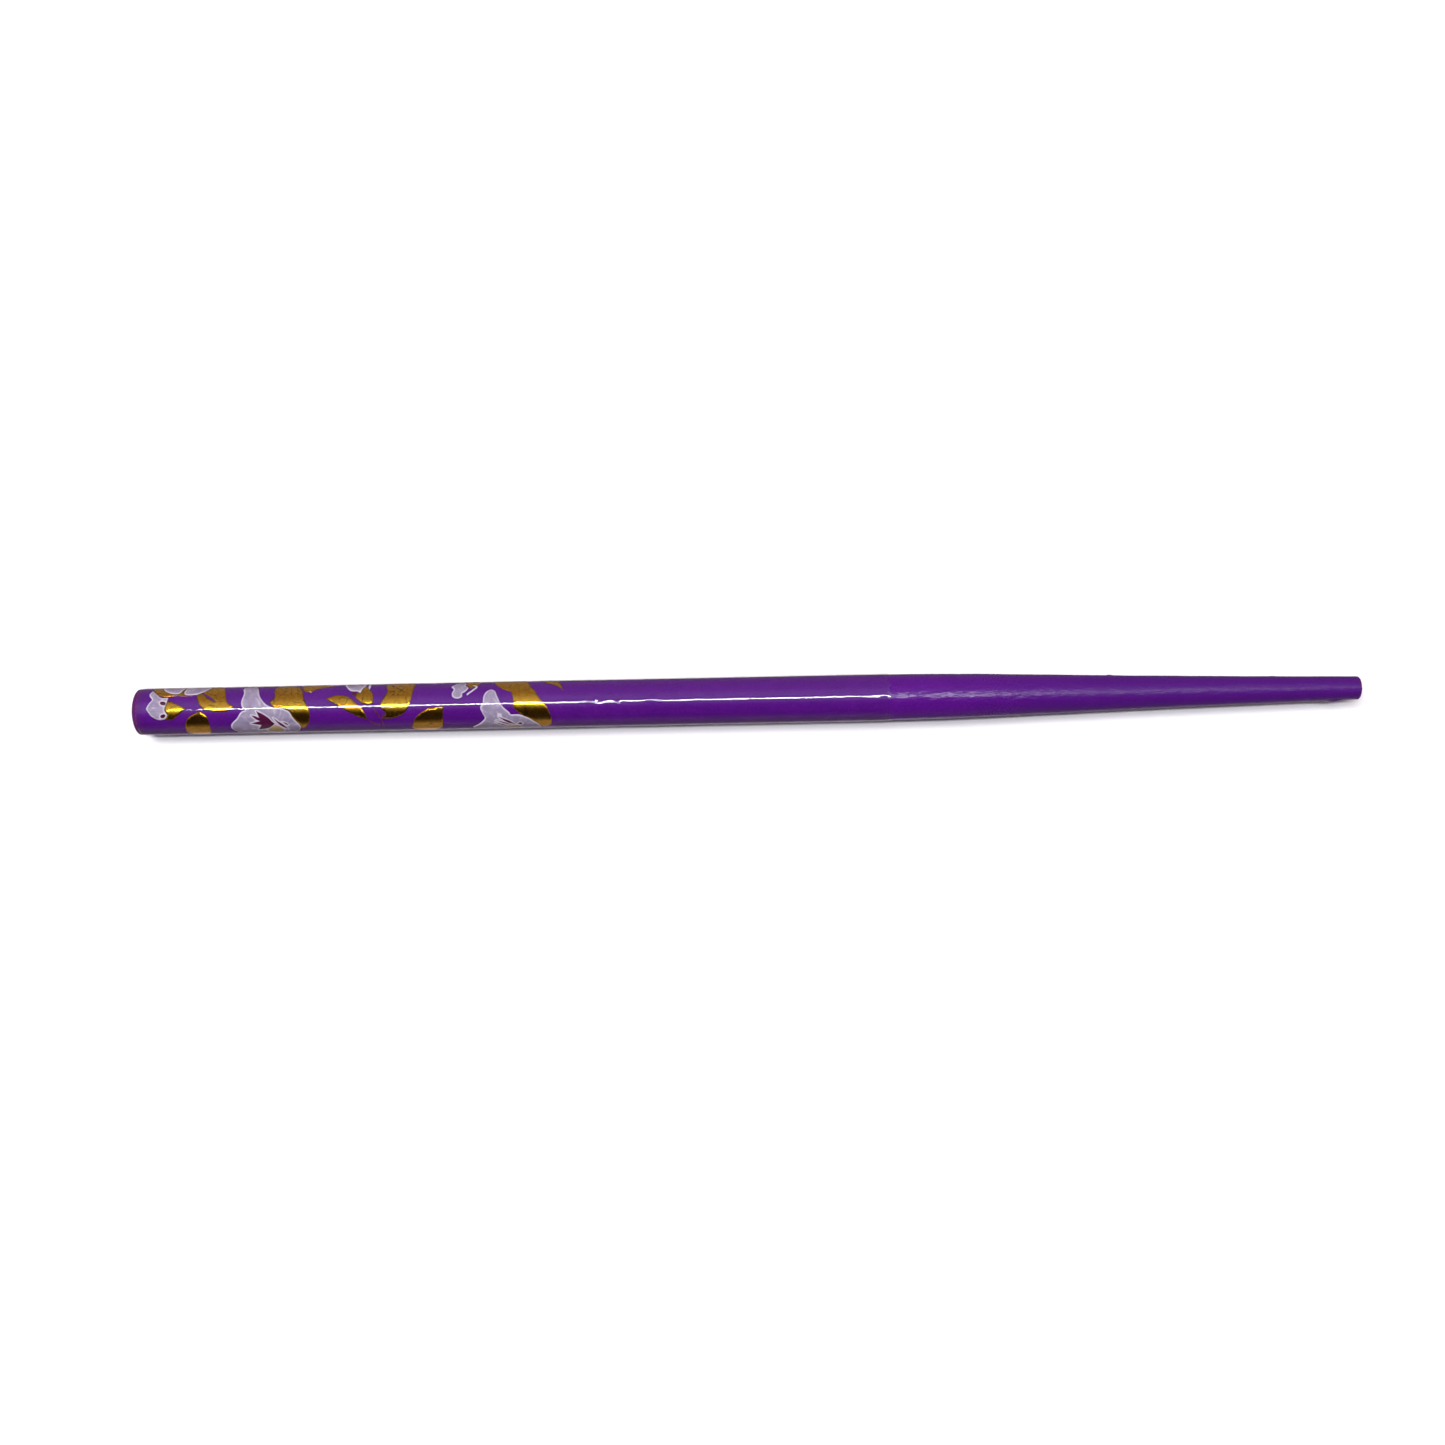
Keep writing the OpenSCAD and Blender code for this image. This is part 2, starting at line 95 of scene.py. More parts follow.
class Shader:
    """A node material under construction. Its methods add a node and return an output."""

    def __init__(self, name):
        self.material = bpy.data.materials.new(name)
        self.material.use_nodes = True
        self.tree = self.material.node_tree
        self.tree.nodes.clear()
        self.out = self.tree.nodes.new("ShaderNodeOutputMaterial")

    def node(self, kind, inputs=(), **settings):
        """Adds a node, sets its properties and fills or links its inputs by name."""
        made = self.tree.nodes.new(kind)
        for key, value in settings.items():
            setattr(made, key, value)
        for key, value in dict(inputs).items():
            if isinstance(value, bpy.types.NodeSocket):
                self.tree.links.new(value, made.inputs[key])
            else:
                made.inputs[key].default_value = value
        return made

    def surface(self, shader_node):
        self.tree.links.new(shader_node.outputs[0], self.out.inputs["Surface"])
        return self.material

    def coordinates(self, stretch=(1, 1, 1)):
        """Object coordinates in millimetres, scaled by stretch along each axis."""
        where = self.node("ShaderNodeTexCoord").outputs["Object"]
        scale = [k / MM for k in stretch]
        mapped = self.node("ShaderNodeMapping", {"Vector": where, "Scale": scale})
        return mapped.outputs["Vector"]

    def noise(self, scale, detail=3.0, roughness=0.55, stretch=(1, 1, 1), distortion=0.0):
        """Noise with about `scale` features to the millimetre."""
        return self.node(
            "ShaderNodeTexNoise",
            {
                "Vector": self.coordinates(stretch),
                "Scale": scale,
                "Detail": detail,
                "Roughness": roughness,
                "Distortion": distortion,
            },
        ).outputs["Fac"]

    def attribute(self, name):
        return self.node("ShaderNodeAttribute", attribute_name=name).outputs["Fac"]

    def remap(self, value, from_low, from_high, to_low=0.0, to_high=1.0, smooth=False):
        kind = "SMOOTHSTEP" if smooth else "LINEAR"
        names = {
            "Value": value,
            "From Min": from_low,
            "From Max": from_high,
            "To Min": to_low,
            "To Max": to_high,
        }
        return self.node("ShaderNodeMapRange", names, interpolation_type=kind).outputs["Result"]

    def maths(self, operation, a, b=0.0):
        made = self.node("ShaderNodeMath", operation=operation)
        for socket, value in zip(made.inputs, (a, b)):
            if isinstance(value, bpy.types.NodeSocket):
                self.tree.links.new(value, socket)
            else:
                socket.default_value = value
        return made.outputs[0]

    def blend(self, factor, first, second, mode="MIX"):
        """Mixes two colours; each is a socket or three numbers."""
        made = self.node("ShaderNodeMix", data_type="RGBA", blend_type=mode)
        for index, value in ((0, factor), (6, first), (7, second)):
            if isinstance(value, bpy.types.NodeSocket):
                self.tree.links.new(value, made.inputs[index])
            elif index == 0:
                made.inputs[0].default_value = value
            else:
                made.inputs[index].default_value = (*value, 1.0)
        return made.outputs[2]

    def bump(self, height, distance, strength=1.0, normal=None):
        inputs = {"Height": height, "Distance": distance, "Strength": strength}
        if normal is not None:
            inputs["Normal"] = normal
        return self.node("ShaderNodeBump", inputs).outputs["Normal"]


def wood_material():
    """Pale turned wood with a fine long grain."""
    m = Shader("pale_wood")
    grain = m.noise(3.0, detail=4.0, stretch=(0.05, 1, 1), distortion=0.4)
    pores = m.noise(14.0, detail=2.0, stretch=(0.08, 1, 1))
    colour = m.blend(m.remap(grain, 0.35, 0.65), (0.62, 0.42, 0.24), (0.42, 0.25, 0.12))
    colour = m.blend(m.remap(pores, 0.62, 0.7), colour, (0.2, 0.1, 0.05))
    skin = m.node(
        "ShaderNodeBsdfPrincipled",
        {
            "Base Color": colour,
            "Roughness": 0.7,
            "Normal": m.bump(grain, 0.02 * MM),
        },
    )
    return m.surface(skin)


def lacquer_material(name, shaft_rough, taper_rough, specular):
    """Purple lacquer: satin, with a fine speckle, a faint wood grain and a thin darker, browner band
    of colour at the rounded ends.
    """
    m = Shader(name)
    speckle = m.noise(4.2, detail=3.0, roughness=0.7)
    cloud = m.noise(0.35, detail=2.0)
    grain = m.noise(2.4, detail=3.0, stretch=(0.06, 1, 1))
    pinch = m.attribute("taper")
    end_rim_tone = m.attribute("end_rim_tone")
    shaft = m.blend(m.remap(speckle, 0.36, 0.64), SHAFT_DARK, SHAFT_LIGHT)
    taper = m.blend(m.remap(speckle, 0.36, 0.64), TAPER_DARK, TAPER_LIGHT)
    colour = m.blend(pinch, shaft, taper)
    colour = m.blend(m.remap(cloud, 0.35, 0.65, 0.0, 0.35), colour, LACQUER_CLOUD)
    colour = m.blend(m.remap(grain, 0.55, 0.8, 0.0, 0.3), colour, LACQUER_GRAIN)
    # A darker, browner colour at the rounded edges of both ends, varied by the speckle
    rim_tone_and_film_wear = m.maths("MULTIPLY", end_rim_tone, m.remap(speckle, 0.25, 0.6, 0.6, 1.0))
    colour = m.blend(rim_tone_and_film_wear, colour, LACQUER_END_RIM)
    base_rough = m.remap(pinch, 0, 1, shaft_rough, taper_rough)
    rough = m.maths("ADD", m.remap(speckle, 0.3, 0.7, 0.0, 0.08), base_rough)
    dimple = m.noise(1.7, detail=2.0, roughness=0.6, stretch=(0.34, 1, 1))
    normal = m.bump(dimple, 0.08 * MM, 1.0)
    normal = m.bump(grain, 0.012 * MM, 0.5, normal)
    skin = m.node(
        "ShaderNodeBsdfPrincipled",
        {
            "Base Color": colour,
            "Roughness": rough,
            "Normal": normal,
            "Specular IOR Level": specular,
        },
    )
    return m.surface(skin)


def foil_material():
    """Hot-stamped gold foil: bright, with soft rubs, pinholes, hairline cracks and thin edges."""
    m = Shader("gold_foil")
    mottle = m.noise(1.1, detail=4.0, roughness=0.6)
    rub = m.noise(5.0, detail=3.0, stretch=(1.6, 0.35, 0.35), distortion=0.6)
    pinhole = m.noise(6.0, detail=2.0, roughness=0.6)
    crack = m.node(
        "ShaderNodeTexVoronoi",
        {"Vector": m.coordinates(), "Scale": 0.75, "Randomness": 1.0},
        feature="DISTANCE_TO_EDGE",
    ).outputs["Distance"]
    rim = m.attribute("rim")
    colour = m.blend(m.remap(mottle, 0.3, 0.7), GOLD_DEEP, GOLD_LIGHT)
    colour = m.blend(m.remap(rub, 0.52, 0.72, 0.0, 0.6), colour, GOLD_RUBBED)
    colour = m.blend(m.remap(rim, 0.04, 0.16, 0.55, 0.0), colour, GOLD_RIM)
    line = m.remap(crack, 0.012, 0.035, 1.0, 0.0)
    line = m.maths("MULTIPLY", line, m.remap(mottle, 0.47, 0.56))
    colour = m.blend(line, colour, (0.03, 0.01, 0.03))
    colour = m.blend(m.remap(pinhole, 0.66, 0.69), colour, (0.05, 0.012, 0.08))
    rough = m.maths("ADD", m.remap(mottle, 0.3, 0.7, 0.13, 0.18), m.remap(rub, 0.5, 0.8, 0.0, 0.1))
    normal = m.bump(rub, 0.02 * MM, 0.8)
    normal = m.bump(mottle, 0.03 * MM, 0.7, normal)
    skin = m.node(
        "ShaderNodeBsdfPrincipled",
        {
            "Base Color": colour,
            "Metallic": 1.0,
            "Roughness": rough,
            "Normal": normal,
        },
    )
    return m.surface(skin)


def petal_material():
    """Thin white ink over purple: milky inside, with soft veins and a thicker, paler rim."""
    m = Shader("white_ink")
    rim = m.attribute("rim")
    fan = m.attribute("fan")
    reach = m.attribute("reach")
    spokes = m.node("ShaderNodeCombineXYZ", {"X": fan, "Y": reach}).outputs["Vector"]
    veins = m.node(
        "ShaderNodeTexNoise", {"Vector": spokes, "Scale": 1.0, "Detail": 3.0, "Roughness": 0.6}
    ).outputs["Fac"]
    cloud = m.noise(0.9, detail=3.0)
    grain = m.noise(9.0, detail=2.0)
    colour = m.blend(m.remap(cloud, 0.3, 0.7), PETAL_THIN, PETAL_THICK)
    colour = m.blend(m.remap(veins, 0.55, 0.72, 0.0, 0.5), colour, PETAL_RIM)
    colour = m.blend(m.remap(veins, 0.45, 0.3, 0.0, 0.35), colour, (0.16, 0.1, 0.24))
    edge = m.maths("ADD", rim, m.remap(grain, 0.3, 0.7, -0.04, 0.04))
    colour = m.blend(m.remap(edge, 0.1, 0.26, 0.85, 0.0, smooth=True), colour, PETAL_RIM)
    colour = m.blend(m.remap(grain, 0.3, 0.7, 0.0, 0.2), colour, PETAL_THIN)
    skin = m.node(
        "ShaderNodeBsdfPrincipled",
        {
            "Base Color": colour,
            "Roughness": m.remap(grain, 0.3, 0.7, 0.35, 0.5),
            "Normal": m.bump(veins, 0.01 * MM, 0.6),
            "Specular IOR Level": 0.1,
        },
    )
    return m.surface(skin)


def ink_material(name, dark, light, edge_colour):
    """A flat printing ink with a fine grain and a stained edge."""
    m = Shader(name)
    grain = m.noise(6.5, detail=3.0, roughness=0.65)
    colour = m.blend(m.remap(grain, 0.32, 0.68), dark, light)
    colour = m.blend(m.remap(m.attribute("rim"), 0.02, 0.09, 0.6, 0.0), colour, edge_colour)
    skin = m.node(
        "ShaderNodeBsdfPrincipled",
        {
            "Base Color": colour,
            "Roughness": m.remap(grain, 0.3, 0.7, 0.35, 0.5),
            "Normal": m.bump(grain, 0.008 * MM, 0.5),
            "Specular IOR Level": 0.1,
        },
    )
    return m.surface(skin)


def film_material():
    """Clear gloss film: it shows what is under it and mirrors by angle."""
    m = Shader("clear_film")
    ripple = m.noise(0.3, detail=1.0, stretch=(0.4, 1, 1))
    haze = m.noise(2.0, detail=3.0)
    normal = m.bump(ripple, 0.012 * MM, 0.25)
    outside = m.maths("SUBTRACT", 1.0, m.node("ShaderNodeNewGeometry").outputs["Backfacing"])
    mirror = m.node("ShaderNodeFresnel", {"IOR": FILM_IOR, "Normal": normal}).outputs["Fac"]
    streaks = m.noise(2.2, detail=3.0, roughness=0.6, stretch=(0.3, 1, 1))
    left = m.remap(m.maths("SUBTRACT", streaks, m.attribute("rim_tone_and_film_wear")), -0.04, 0.06)
    share = m.maths("MULTIPLY", m.maths("MULTIPLY", mirror, outside), left)
    see = m.node("ShaderNodeBsdfTransparent")
    shine = m.node(
        "ShaderNodeBsdfAnisotropic",
        {"Roughness": m.remap(haze, 0.3, 0.7, 0.05, 0.08), "Normal": normal},
    )
    mixed = m.node("ShaderNodeMixShader", {0: share})
    m.tree.links.new(see.outputs[0], mixed.inputs[1])
    m.tree.links.new(shine.outputs[0], mixed.inputs[2])
    return m.surface(mixed)


SHAFT_DARK = (0.082, 0.004, 0.20)
SHAFT_LIGHT = (0.112, 0.0075, 0.255)
TAPER_DARK = (0.060, 0.0035, 0.158)
TAPER_LIGHT = (0.084, 0.006, 0.205)
LACQUER_CLOUD = (0.066, 0.003, 0.175)
LACQUER_GRAIN = (0.056, 0.003, 0.14)
# Darker, browner colour at the rounded edges of both ends
LACQUER_END_RIM = (0.11, 0.022, 0.045)
GOLD_DEEP = (0.84, 0.42, 0.003)
GOLD_LIGHT = (0.98, 0.62, 0.010)
GOLD_RUBBED = (0.5, 0.2, 0.01)
GOLD_RIM = (0.28, 0.09, 0.03)
PETAL_THIN = (0.27, 0.22, 0.36)
PETAL_THICK = (0.38, 0.33, 0.46)
PETAL_RIM = (0.74, 0.68, 0.80)
FILM_IOR = 1.74


# --- Meshes --------------------------------------------------------------------


def new_piece(name, verts, faces, material, replaces, attributes=()):
    """Makes a smooth mesh object, hangs it under the root body and hides the nodes it stands for."""
    mesh = bpy.data.meshes.new(name)
    mesh.from_pydata(verts, [], faces)
    mesh.update()
    mesh.shade_smooth()
    for key, values in dict(attributes).items():
        layer = mesh.attributes.new(key, "FLOAT", "POINT")
        layer.data.foreach_set("value", np.asarray(values, dtype=np.float32))
    mesh.materials.append(material)
    piece = bpy.data.objects.new(name, mesh)
    bpy.context.scene.collection.objects.link(piece)
    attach(piece, "root")
    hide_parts(*replaces)
    return piece


def tube_faces(rings, around):
    """Quads between `rings` rings of `around` vertices each."""
    faces = []
    for i in range(rings - 1):
        for j in range(around):
            k = (j + 1) % around
            faces.append((i * around + j, i * around + k, (i + 1) * around + k, (i + 1) * around + j))
    return faces


# --- The lacquer ---------------------------------------------------------------


def cad_profile():
    """The lacquer's outer profile as sorted arrays of s and radius, from its CAD mesh."""
    mesh = NODES["lacquer_coat"].data
    found = {}
    for face in mesh.polygons:
        c = face.center
        outward = Vector((0, c.y, c.z - AXIS_Z)).normalized()
        if face.normal.dot(outward) < 0.5:
            continue
        for index in face.vertices:
            co = mesh.vertices[index].co
            s = round(co.x - BLUNT_X, 6)
            found[s] = max(found.get(s, 0.0), math.hypot(co.y, co.z - AXIS_Z))
    s = np.array(sorted(found))
    return s, np.array([found[k] for k in s])


def smooth_radius(s, knots, radii):
    """A cubic through the profile's points, with the slope at each point from its neighbours."""
    slopes = np.gradient(radii, knots)
    slopes[radii >= LACQUER_R - 1e-7] = 0.0
    i = np.clip(np.searchsorted(knots, s) - 1, 0, len(knots) - 2)
    h = knots[i + 1] - knots[i]
    t = (s - knots[i]) / h
    a = (1 + 2 * t) * (1 - t) ** 2 * radii[i] + t * t * (3 - 2 * t) * radii[i + 1]
    return a + h * (t * (1 - t) ** 2 * slopes[i] - t * t * (1 - t) * slopes[i + 1])


def lacquer_ripple(s, a, radius):
    """How far the lacquer stands off the turned shape: runs, beads and a chip."""
    taper = smoothstep(110 * MM, 122 * MM, s)
    ends = smoothstep(0.0, 2 * MM, LENGTH - s)
    wave = noise.noise(Vector((s / MM * 0.16, math.cos(a) * 1.3, math.sin(a) * 1.3)))
    fine = noise.noise(Vector((s / MM * 0.8, math.cos(a) * 4, math.sin(a) * 4)))
    lift = taper * ends * (0.03 * wave + 0.008 * fine)
    for bead_s, bead_a, long, wide, high in BEADS:
        turn = (a - math.radians(bead_a) + math.pi) % (2 * math.pi) - math.pi
        lift += high * hump(s / MM, bead_s, long) * hump(turn * radius / MM, 0.0, wide)
    return lift * MM


# Beads and dips of lacquer: s in mm, angle, half length, half width and height in mm
BEADS = [
    (176.4, 96, 1.5, 1.0, 0.22),
    (174.6, 110, 1.2, 0.8, 0.12),
    (147.0, 92, 0.7, 0.9, -0.12),
    (143.6, -88, 0.6, 0.8, 0.09),
    (158.0, 150, 1.6, 0.9, 0.1),
    (131.0, -140, 1.2, 0.9, 0.08),
    (167.5, -96, 0.9, 0.7, 0.05),
]

LACQUER_AROUND = 144
# Under its worn end the film covers lacquer that still shines
BARE_UNDER_FILM = 1.2 * MM


def make_lacquer(bare, covered):
    """The lacquer as one closed high-resolution skin with rounded ends."""
    knots, radii = cad_profile()
    body = np.concatenate([
        np.linspace(BLUNT_EDGE, 108 * MM, 90),
        np.linspace(108.5 * MM, LENGTH - 5 * MM, 180),
        np.linspace(LENGTH - 4.8 * MM, LENGTH - TIP_EDGE, 24),
    ])
    rings = [(0.0, LACQUER_R * k) for k in (0.12, 0.35, 0.6, 0.8)]
    corner = LACQUER_R - BLUNT_EDGE
    for t in np.radians(np.linspace(0, 78, 7)):
        rings.append((BLUNT_EDGE * (1 - math.cos(t)), corner + BLUNT_EDGE * math.sin(t)))
    rings += [(s, float(smooth_radius(s, knots, radii))) for s in body]
    nose_r = rings[-1][1] - TIP_EDGE
    for t in np.radians(np.linspace(12, 90, 8)):
        rings.append((LENGTH - TIP_EDGE * (1 - math.sin(t)), nose_r + TIP_EDGE * math.cos(t)))
    rings += [(LENGTH, nose_r * k) for k in (0.8, 0.5, 0.2)]

    verts, end_rim_tone, taper = [], [], []
    for s, r in rings:
        for j in range(LACQUER_AROUND):
            a = 2 * math.pi * j / LACQUER_AROUND
            on_side = BLUNT_EDGE <= s <= LENGTH - TIP_EDGE
            lift = lacquer_ripple(s, a, r) if on_side else 0.0
            verts.append(place(s, a, r + lift))
            # A darker, browner band of colour at the rounded edges of both ends, strongest at the
            # blunt end and varied by a noise
            rim_noise = noise.noise(Vector((s / MM * 3, math.cos(a) * 5, math.sin(a) * 5)))
            blunt = hump(s / MM, 0.1, 0.55) * smoothstep(0.8, 0.97, r / LACQUER_R)
            nose = 0.5 * hump((LENGTH - s) / MM, 0.1, 0.5) * smoothstep(0.6, 0.9, r / radii[-1])
            end_rim_tone.append(float(np.clip((blunt + nose) * (0.8 + 0.7 * rim_noise), 0, 1)))
            taper.append(float(smoothstep(110 * MM, 146 * MM, s)))
    faces = tube_faces(len(rings), LACQUER_AROUND)
    for first, s, flip in ((0, 0.0, False), ((len(rings) - 1) * LACQUER_AROUND, LENGTH, True)):
        hub = len(verts)
        verts.append(place(s, 0.0, 0.0))
        end_rim_tone.append(0.0)
        taper.append(1.0 if flip else 0.0)
        for j in range(LACQUER_AROUND):
            a, b = first + j, first + (j + 1) % LACQUER_AROUND
            faces.append((hub, a, b) if flip else (hub, b, a))
    marks = {"end_rim_tone": end_rim_tone, "taper": taper}
    skin = new_piece("lacquer_skin", verts, faces, bare, ["lacquer_coat"], marks)
    skin.data.materials.append(covered)
    for face in skin.data.polygons:
        if FILM_FROM < face.center.x - BLUNT_X < FILM_TO - BARE_UNDER_FILM:
            face.material_index = 1
    return skin


# --- The print -----------------------------------------------------------------

STEP_MM = 0.14
GRID_MM = 0.3
CORNER = math.radians(38)
RAGGED_MM = 0.025
# noise_vector starts from the clock unless it is given a seed
NOISE_SEED = 1
noise.seed_set(NOISE_SEED)


def outer_loops(mesh):
    """The outlines of a print node's outer faces: loops of (s, arc length) in mm around a
    middle angle, one list of loops for each separate patch, with that angle."""
    keys, points, faces = {}, [], []
    for vertex in mesh.vertices:
        key = tuple(round(c / MM, 4) for c in vertex.co)
        keys.setdefault(key, len(keys))
        if keys[key] == len(points):
            points.append(vertex.co.copy())
    index = [keys[tuple(round(c / MM, 4) for c in v.co)] for v in mesh.vertices]
    radius = [math.hypot(p.y, p.z - AXIS_Z) for p in points]
    for face in mesh.polygons:
        corners = [index[i] for i in face.vertices]
        if all(abs(radius[i] - PRINT_R) < PRINT_T / 5 for i in corners):
            faces.append(corners)
    edges = {}
    for corners in faces:
        for i, j in zip(corners, corners[1:] + corners[:1]):
            edges[(i, j)] = True
    rim = {i: j for i, j in edges if (j, i) not in edges}
    patch = {i: i for face in faces for i in face}

    def root(i):
        while patch[i] != i:
            i = patch[i]
        return i

    for corners in faces:
        for i in corners[1:]:
            patch[root(i)] = root(corners[0])
    groups = {}
    while rim:
        start, here = next(iter(rim.items()))
        loop = [start]
        del rim[start]
        while here != start:
            loop.append(here)
            here = rim.pop(here)
        groups.setdefault(root(start), []).append(loop)
    made = []
    for loops in groups.values():
        angles = [math.atan2(-points[i].y, points[i].z - AXIS_Z) for i in loops[0]]
        middle = math.atan2(sum(map(math.sin, angles)), sum(map(math.cos, angles)))
        flat = []
        for loop in loops:
            path = []
            for i in loop:
                a = math.atan2(-points[i].y, points[i].z - AXIS_Z) - middle
                a = (a + math.pi) % (2 * math.pi) - math.pi
                path.append(((points[i].x - BLUNT_X) / MM, a * PRINT_R / MM))
            flat.append(np.array(path))
        made.append((middle, flat))
    return made


def simplified(path, tolerance=0.006):
    """The outline without the points that lie on a straight line between their neighbours."""
    keep = list(range(len(path)))
    changed = True
    while changed and len(keep) > 4:
        changed = False
        for n in range(len(keep)):
            a, b, c = path[keep[n - 1]], path[keep[n]], path[keep[(n + 1) % len(keep)]]
            span = c - a
            length = np.hypot(*span)
            off = abs(span[0] * (b - a)[1] - span[1] * (b - a)[0]) / max(length, 1e-9)
            if off < tolerance or np.hypot(*(b - a)) < 0.01:
                del keep[n]
                changed = True
                break
    return path[keep]


def rounded(path):
    """A smooth closed curve through the outline's points that keeps its sharp corners."""
    n = len(path)
    ahead = np.roll(path, -1, axis=0) - path
    heading = np.arctan2(ahead[:, 1], ahead[:, 0])
    turn = np.abs((heading - np.roll(heading, 1) + math.pi) % (2 * math.pi) - math.pi)
    sharp = turn > CORNER
    made = []
    for i in range(n):
        b, c = path[i], path[(i + 1) % n]
        a = 2 * b - c if sharp[i] else path[i - 1]
        d = 2 * c - b if sharp[(i + 1) % n] else path[(i + 2) % n]
        length = np.hypot(*(c - b))
        into = (c - a) * length / max(np.hypot(*(c - b)) + np.hypot(*(b - a)), 1e-9)
        out = (d - b) * length / max(np.hypot(*(d - c)) + np.hypot(*(c - b)), 1e-9)
        steps = max(1, int(math.ceil(length / STEP_MM)))
        for k in range(steps):
            t = k / steps
            made.append(
                (1 + 2 * t) * (1 - t) ** 2 * b + t * t * (3 - 2 * t) * c
                + t * (1 - t) ** 2 * into - t * t * (1 - t) * out
            )
    return np.array(made)


def ragged(path, middle):
    """The outline with the small wander of a printed edge. It depends only on the place on
    the shaft, so that two motifs that share an edge still meet."""
    made = path.copy()
    for row in made:
        a = middle + row[1] * MM / PRINT_R
        at = Vector((row[0], 3.4 * math.cos(a), 3.4 * math.sin(a)))
        wander = noise.noise_vector(at * 2.1) + 0.5 * noise.noise_vector(at * 5.3)
        row += RAGGED_MM * np.array((wander.x, wander.y))
    return made


def inside(points, loops):
    """Which points lie inside the loops, by counting crossings."""
    hit = np.zeros(len(points), dtype=bool)
    for loop in loops:
        a, b = loop, np.roll(loop, -1, axis=0)
        for p, q in zip(a, b):
            if p[1] == q[1]:
                continue
            spans = (points[:, 1] >= min(p[1], q[1])) & (points[:, 1] < max(p[1], q[1]))
            x = p[0] + (points[:, 1] - p[1]) * (q[0] - p[0]) / (q[1] - p[1])
            hit ^= spans & (points[:, 0] < x)
    return hit


def rim_distance(points, loops):
    """Each point's distance to the nearest outline."""
    nearest = np.full(len(points), 1e9)
    for loop in loops:
        for p, q in zip(loop, np.roll(loop, -1, axis=0)):
            span = q - p
            along = np.clip(((points - p) @ span) / max(span @ span, 1e-12), 0, 1)
            nearest = np.minimum(nearest, np.hypot(*(points - p - along[:, None] * span).T))
    return nearest


def flat_mesh(loops):
    """Triangles that fill the loops, with a honeycomb of points inside."""
    everything = np.concatenate(loops)
    low, high = everything.min(axis=0), everything.max(axis=0)
    rows = np.arange(low[1], high[1], GRID_MM * 0.866)
    grid = [
        (x + (GRID_MM / 2 if k % 2 else 0.0), y)
        for k, y in enumerate(rows)
        for x in np.arange(low[0], high[0], GRID_MM)
    ]
    grid = np.array(grid)
    grid = grid[inside(grid, loops)]
    if len(grid):
        grid = grid[rim_distance(grid, loops) > 0.45 * GRID_MM]
    coords = [Vector(p) for p in np.concatenate([everything, grid])]
    edges, start = [], 0
    for loop in loops:
        n = len(loop)
        edges += [(start + i, start + (i + 1) % n) for i in range(n)]
        start += n
    verts, _, faces, *_ = delaunay_2d_cdt(coords, edges, [], 2, 1e-6)
    return np.array([tuple(v) for v in verts]), [tuple(f) for f in faces]


def print_piece(name, node, material, lip, heart=None):
    """A motif as thin closed patches on the shaft. Its surface eases down by `lip` at the rim."""
    verts, faces, rims, fans, reaches = [], [], [], [], []
    for middle, loops in outer_loops(NODES[node].data):
        loops = [ragged(rounded(simplified(loop)), middle) for loop in loops]
        flat, triangles = flat_mesh(loops)
        rim = rim_distance(flat, loops)
        first, count = len(verts), len(flat)
        for top in (True, False):
            for (s, arc), d in zip(flat, rim):
                a = middle + arc * MM / PRINT_R
                drop = lip * math.exp(-d / 0.07) if top else PRINT_T * 0.96
                verts.append(place(s * MM, a, PRINT_R - drop))
                rims.append(d if top else 0.0)
                away_s, away_a = (0.0, 0.0)
                if heart is not None:
                    away_s = s - heart[0]
                    turn = (a - heart[1] + math.pi) % (2 * math.pi) - math.pi
                    away_a = turn * PRINT_R / MM
                fans.append(math.atan2(away_a, away_s) * 7)
                reaches.append(math.hypot(away_s, away_a) * 0.5)
        seen = set()
        for i, j, k in triangles:
            p, q, r = flat[i], flat[j], flat[k]
            up = (q[0] - p[0]) * (r[1] - p[1]) - (q[1] - p[1]) * (r[0] - p[0]) > 0
            i, j, k = (i, k, j) if up else (i, j, k)
            faces.append((first + i, first + j, first + k))
            faces.append((first + count + k, first + count + j, first + count + i))
            seen |= {(i, j), (j, k), (k, i)}
        for i, j in seen:
            if (j, i) not in seen:
                faces.append((first + j, first + i, first + count + i, first + count + j))
    marks = {"rim": rims, "fan": fans, "reach": reaches}
    return new_piece(name, verts, faces, material, [node], marks)


def heart_of(node):
    """The middle of a motif as (s in mm, angle)."""
    low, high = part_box(node)
    c = (low + high) / 2
    return ((c.x - BLUNT_X) / MM, math.atan2(-c.y, c.z - AXIS_Z))


# --- The clear film ------------------------------------------------------------

FILM_AROUND = 144
# Beyond the print the film lies on the lacquer
PRINT_END_MM = 66
# The film's mirror wears away between these distances from its end, from least to most
WORN_FROM_MM = 1.6
WORN_TO_MM = 0.2
WORN_LEAST = 0.2
WORN_MOST = 0.82


# Dust under the film: s in mm, way around in mm and half length in mm
SPECKS = [(86.5, -2.4, 0.4), (95.4, 1.8, 0.35), (48.2, 2.2, 0.3), (103.0, -1.2, 0.4)]


